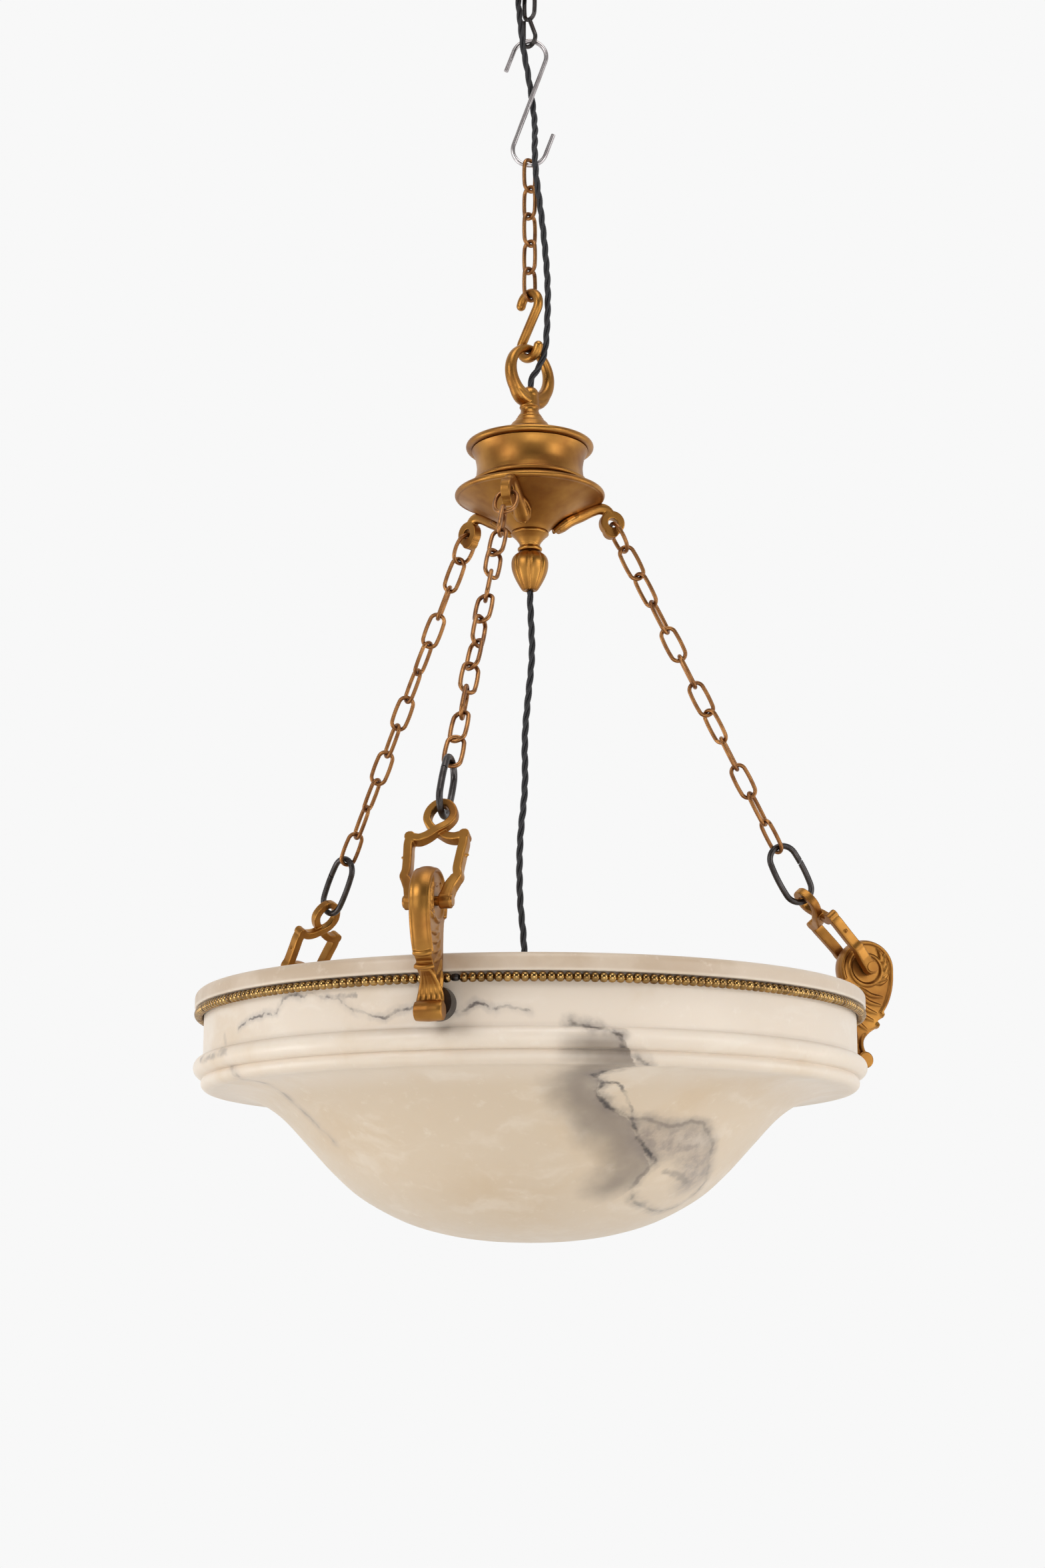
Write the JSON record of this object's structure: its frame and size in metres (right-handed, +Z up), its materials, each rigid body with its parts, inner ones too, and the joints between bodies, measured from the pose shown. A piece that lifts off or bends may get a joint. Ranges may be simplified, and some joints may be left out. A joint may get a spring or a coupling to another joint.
{
  "type": "alabaster ceiling light",
  "caption": "Ceiling light: a turned alabaster bowl with a bead band, hung by scroll brackets, shackles and chains from a bronze gallery on hooks and links, with a lamp inside.",
  "frame": {"origin": "centre of the ceiling plate's rim, on the ceiling", "axes": "+Z up into the ceiling, -Y from the axis to the front bracket, +X to its right"},
  "size_m": [0.4692, 0.4949, 0.9495],
  "materials": {
    "alabaster": "polished, veined and translucent",
    "gilt_bronze": "cast and lacquered, satin",
    "chain_brass": "drawn wire, tarnished",
    "bead_brass": "antique, polished on the crowns",
    "dark_iron": "dark and slightly glossy",
    "zinc_wire": "zinc-plated wire",
    "plain_steel": "plain bright steel",
    "black_flex": "twisted black covering",
    "black_plastic": "moulded",
    "bulb_metal": "pressed",
    "bulb_glass": "pearl"
  },
  "bodies": {
    "ceiling": {"ceiling_plate": "gilt_bronze", "ceiling_staple": "dark_iron", "staple_nuts": "plain_steel", "flex_bush": "black_plastic", "flex_upper": "black_flex"},
    "hook": {"upper_hook": "dark_iron"},
    "s_hook": {"wire_hook": "zinc_wire"},
    "link_1": {"top_link_1": "chain_brass"},
    "link_2": {"top_link_2": "chain_brass"},
    "link_3": {"top_link_3": "chain_brass"},
    "link_4": {"top_link_4": "chain_brass"},
    "link_5": {"top_link_5": "chain_brass"},
    "cast": {"cast_hook": "gilt_bronze"},
    "gallery": {"hanging_loop": "gilt_bronze", "gallery_cap": "gilt_bronze", "gallery_drum": "gilt_bronze", "gallery_cone": "gilt_bronze", "arm_front": "gilt_bronze", "arm_right": "gilt_bronze", "arm_left": "gilt_bronze", "arm_screws": "plain_steel", "gallery_collar": "gilt_bronze", "finial": "gilt_bronze", "centre_tube": "plain_steel", "tube_nuts": "plain_steel", "flex_inner": "black_flex"},
    "bowl": {"bowl": "alabaster", "bead_band": "bead_brass", "bracket_front": "gilt_bronze", "bracket_right": "gilt_bronze", "bracket_left": "gilt_bronze", "bracket_spacers": "dark_iron", "bracket_bolts": "plain_steel", "bolt_washers": "plain_steel", "shackle_pins": "gilt_bronze"},
    "front_chain": {"chain_front": "chain_brass", "split_link_front": "dark_iron"},
    "right_chain": {"chain_right": "chain_brass", "split_link_right": "dark_iron"},
    "left_chain": {"chain_left": "chain_brass", "split_link_left": "dark_iron"},
    "front_shackle": {"shackle_front": "gilt_bronze"},
    "right_shackle": {"shackle_right": "gilt_bronze"},
    "left_shackle": {"shackle_left": "gilt_bronze"},
    "lamp": {"flex_lower": "black_flex", "lamp_cap": "black_plastic", "lamp_holder": "black_plastic", "holder_ring": "black_plastic", "bulb_cap": "bulb_metal", "bulb_glass": "bulb_glass"}
  },
  "joints": [
    {"name": "hook_swing", "type": "hinge", "parent": "ceiling", "child": "hook", "pos_m": [0, 0, -0.037], "axis": [0.512, 0.859, 0], "range_deg": [-8, 8], "deforming": ["flex_upper"]},
    {"name": "wire_hook_swing", "type": "hinge", "parent": "hook", "child": "s_hook", "pos_m": [0, 0, -0.07825], "axis": [0.859, -0.512, 0], "range_deg": [-8, 8], "deforming": ["flex_upper"]},
    {"name": "link_1_swing", "type": "hinge", "parent": "s_hook", "child": "link_1", "pos_m": [0, 0, -0.1728], "axis": [0.9694, 0.2453, 0], "range_deg": [-8, 8], "deforming": ["flex_upper"]},
    {"name": "link_2_swing", "type": "hinge", "parent": "link_1", "child": "link_2", "pos_m": [0, 0, -0.1932], "axis": [0.512, 0.859, 0], "range_deg": [-8, 8], "deforming": ["flex_upper"]},
    {"name": "link_3_swing", "type": "hinge", "parent": "link_2", "child": "link_3", "pos_m": [0, 0, -0.21435], "axis": [0.859, -0.512, 0], "range_deg": [-8, 8], "deforming": ["flex_upper"]},
    {"name": "link_4_swing", "type": "hinge", "parent": "link_3", "child": "link_4", "pos_m": [0, 0, -0.2355], "axis": [0.512, 0.859, 0], "range_deg": [-8, 8], "deforming": ["flex_upper"]},
    {"name": "link_5_swing", "type": "hinge", "parent": "link_4", "child": "link_5", "pos_m": [0, 0, -0.25665], "axis": [0.859, -0.512, 0], "range_deg": [-8, 8], "deforming": ["flex_upper"]},
    {"name": "cast_hook_swing", "type": "hinge", "parent": "link_5", "child": "cast", "pos_m": [0, 0, -0.2778], "axis": [0.512, 0.859, 0], "range_deg": [-8, 8], "deforming": ["flex_upper"]},
    {"name": "gallery_swing", "type": "hinge", "parent": "cast", "child": "gallery", "pos_m": [0, 0, -0.3219], "axis": [0.859, -0.512, 0], "range_deg": [-8, 8], "deforming": ["flex_upper"]},
    {"name": "bowl_turn", "type": "hinge", "parent": "gallery", "child": "bowl", "pos_m": [0, 0, -0.79908], "axis": [0, 0, 1], "range_deg": [-5, 5]},
    {"name": "front_chain_swing", "type": "hinge", "parent": "gallery", "child": "front_chain", "pos_m": [0, -0.061, -0.4413], "axis": [0, -0.849, 0.5284], "range_deg": [-4, 4]},
    {"name": "right_chain_swing", "type": "hinge", "parent": "gallery", "child": "right_chain", "pos_m": [0.05283, 0.0305, -0.4413], "axis": [0.7654, 0.4419, 0.4679], "range_deg": [-4, 4]},
    {"name": "left_chain_swing", "type": "hinge", "parent": "gallery", "child": "left_chain", "pos_m": [-0.05283, 0.0305, -0.4413], "axis": [-0.7516, 0.434, 0.4967], "range_deg": [-4, 4]},
    {"name": "front_shackle_tilt", "type": "hinge", "parent": "bowl", "child": "front_shackle", "pos_m": [0, -0.247, -0.75608], "axis": [1, 0, 0], "range_deg": [-1, 0.5]},
    {"name": "right_shackle_tilt", "type": "hinge", "parent": "bowl", "child": "right_shackle", "pos_m": [0.21391, 0.1235, -0.75608], "axis": [-0.5, 0.866, 0], "range_deg": [-0.5, 1.5]},
    {"name": "left_shackle_tilt", "type": "hinge", "parent": "bowl", "child": "left_shackle", "pos_m": [-0.21391, 0.1235, -0.75608], "axis": [-0.5, -0.866, 0], "range_deg": [-0.5, 1]},
    {"name": "lamp_swing", "type": "hinge", "parent": "gallery", "child": "lamp", "pos_m": [0, 0, -0.4958], "axis": [0.9694, 0.2453, 0], "range_deg": [-6, 6]}
  ],
  "couplings": [
    {"joint": "front_chain_swing", "follows": "bowl_turn", "ratio": 0.731},
    {"joint": "right_chain_swing", "follows": "bowl_turn", "ratio": 0.6696},
    {"joint": "left_chain_swing", "follows": "bowl_turn", "ratio": 0.6995}
  ]
}
